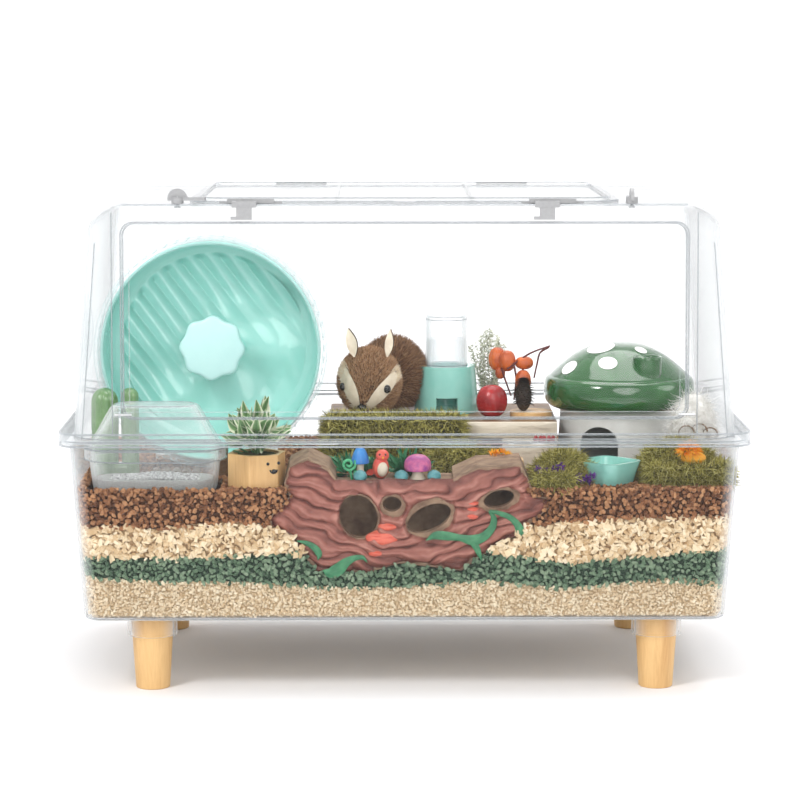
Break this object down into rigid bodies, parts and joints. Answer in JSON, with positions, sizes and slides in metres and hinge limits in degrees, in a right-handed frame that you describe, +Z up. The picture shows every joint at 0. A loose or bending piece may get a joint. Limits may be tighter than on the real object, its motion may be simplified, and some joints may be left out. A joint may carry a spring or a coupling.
{
  "type": "hamster cage",
  "caption": "Clear lift-off hamster cage on tapered wooden legs, with a drop-down front door, lifting top lid, exercise wheel, layered bedding and furnishings",
  "frame": {"origin": "on the floor under the middle of the cage", "axes": "+X is to the right along the cage's length, +Y is to the back, +Z is up"},
  "size_m": [0.8, 0.48, 0.5907],
  "materials": {
    "clear_plastic": "clear moulded plastic",
    "pine": "pale varnished pine",
    "pulp_bedding": "fine cream paper pulp",
    "green_pellets": "sage green pellets",
    "corncob_chips": "cream wood chips",
    "bark_pellets": "red-brown bark pellets",
    "grey_plastic": "grey moulded latch plastic",
    "steel": "bare steel pin",
    "mint_plastic": "mint moulded plastic",
    "bath_sand": "pale grey sand",
    "green_glaze": "glossy green glaze",
    "brown_wood": "dark brown wood",
    "leaves": "variegated leaves",
    "moss": "dry moss",
    "bristle": "straw-brown bristles",
    "mint_glaze": "glossy mint glaze",
    "bottle_glass": "clear glass",
    "water": "water",
    "dried_red": "dried red and orange pods",
    "lichen": "white-green dried lichen",
    "cone": "dark cone scales",
    "white_glaze": "white glaze",
    "painted_resin": "painted resin bark",
    "painted_red": "painted resin",
    "painted_green": "painted resin",
    "stone_blue": "pale blue stone",
    "petals": "orange petals",
    "cotton": "white cotton",
    "pale_stone": "pale mineral stone"
  },
  "bodies": {
    "tub": {"tub": "clear_plastic", "leg_front_left": "pine", "leg_front_right": "pine", "leg_rear_left": "pine", "leg_rear_right": "pine", "bedding_fine": "pulp_bedding", "bedding_green": "green_pellets", "bedding_chips": "corncob_chips", "bedding_pellets": "bark_pellets", "wheel_axle": "steel", "wheel_stand": "clear_plastic", "sand_bath_tray": "clear_plastic", "bath_sand": "bath_sand", "cactus_house": "green_glaze", "stick_bridge": "brown_wood", "planter_pot": "pine", "planter_plant": "leaves", "platform_house": "brown_wood", "platform_moss": "moss", "hedgehog_figure": "bristle", "bottle_base": "mint_glaze", "lichen_bush": "lichen", "dried_pods": "dried_red", "wood_slice": "pine", "pinecone": "cone", "mushroom_house": "white_glaze", "food_bowl": "mint_glaze", "log_hideout": "painted_resin", "log_fungi": "painted_red", "log_mushrooms": "painted_red", "log_stones": "stone_blue", "log_greens": "painted_green", "log_bird": "painted_red", "moss_middle": "moss", "moss_right": "moss", "marigold": "petals", "cotton_nest": "cotton", "wood_block": "pine", "mineral_stone": "pale_stone"},
    "cover": {"cover": "clear_plastic", "door_hinge_pins": "steel", "lid_hinge_pins": "steel", "latch_rails": "grey_plastic", "turn_latch_screws": "steel"},
    "front_door": {"front_door": "clear_plastic", "door_catches": "clear_plastic"},
    "top_lid": {"top_lid": "clear_plastic"},
    "latch_left": {"latch_left": "grey_plastic"},
    "latch_right": {"latch_right": "grey_plastic"},
    "turn_latch_left": {"turn_latch_left": "grey_plastic"},
    "turn_latch_right": {"turn_latch_right": "grey_plastic"},
    "wheel": {"wheel_bowl": "mint_plastic", "wheel_ring": "clear_plastic", "wheel_hub_cap": "mint_plastic", "wheel_bearings": "steel"},
    "sand_bath_hood": {"sand_bath_hood": "clear_plastic"},
    "water_bottle": {"water_bottle": "bottle_glass", "bottle_water": "water"},
    "mushroom_roof": {"mushroom_roof": "green_glaze"}
  },
  "joints": [
    {"name": "cover_lift", "type": "slide", "parent": "tub", "child": "cover", "axis": [0, 0, 1], "range_m": [0, 0.3]},
    {"name": "front_door_hinge", "type": "hinge", "parent": "cover", "child": "front_door", "pos_m": [0, -0.22451, 0.33233], "axis": [1, 0, 0], "range_deg": [0, 100]},
    {"name": "top_lid_hinge", "type": "hinge", "parent": "cover", "child": "top_lid", "pos_m": [0, 0.195, 0.5778], "axis": [-1, 0, 0], "range_deg": [0, 100]},
    {"name": "latch_left_slide", "type": "slide", "parent": "cover", "child": "latch_left", "axis": [1, 0, 0], "range_m": [-0.007, 0.008]},
    {"name": "latch_right_slide", "type": "slide", "parent": "cover", "child": "latch_right", "axis": [1, 0, 0], "range_m": [-0.007, 0.008]},
    {"name": "turn_latch_left_turn", "type": "hinge", "parent": "cover", "child": "turn_latch_left", "pos_m": [-0.261, -0.196, 0.575], "axis": [0, 0, 1], "range_deg": [0, 90]},
    {"name": "turn_latch_right_turn", "type": "hinge", "parent": "cover", "child": "turn_latch_right", "pos_m": [0.261, -0.196, 0.575], "axis": [0, 0, 1], "range_deg": [0, 90]},
    {"name": "wheel_spin", "type": "hinge", "parent": "tub", "child": "wheel", "pos_m": [-0.232, -0.03, 0.389], "axis": [0, 1, 0], "continuous": true},
    {"name": "bottle_lift", "type": "slide", "parent": "tub", "child": "water_bottle", "axis": [0, 0, 1], "range_m": [0, 0.12]},
    {"name": "sand_bath_hood_lift", "type": "slide", "parent": "tub", "child": "sand_bath_hood", "axis": [0, 0, 1], "range_m": [0, 0.06]},
    {"name": "mushroom_roof_lift", "type": "slide", "parent": "tub", "child": "mushroom_roof", "axis": [0, 0, 1], "range_m": [0, 0.08]}
  ]
}
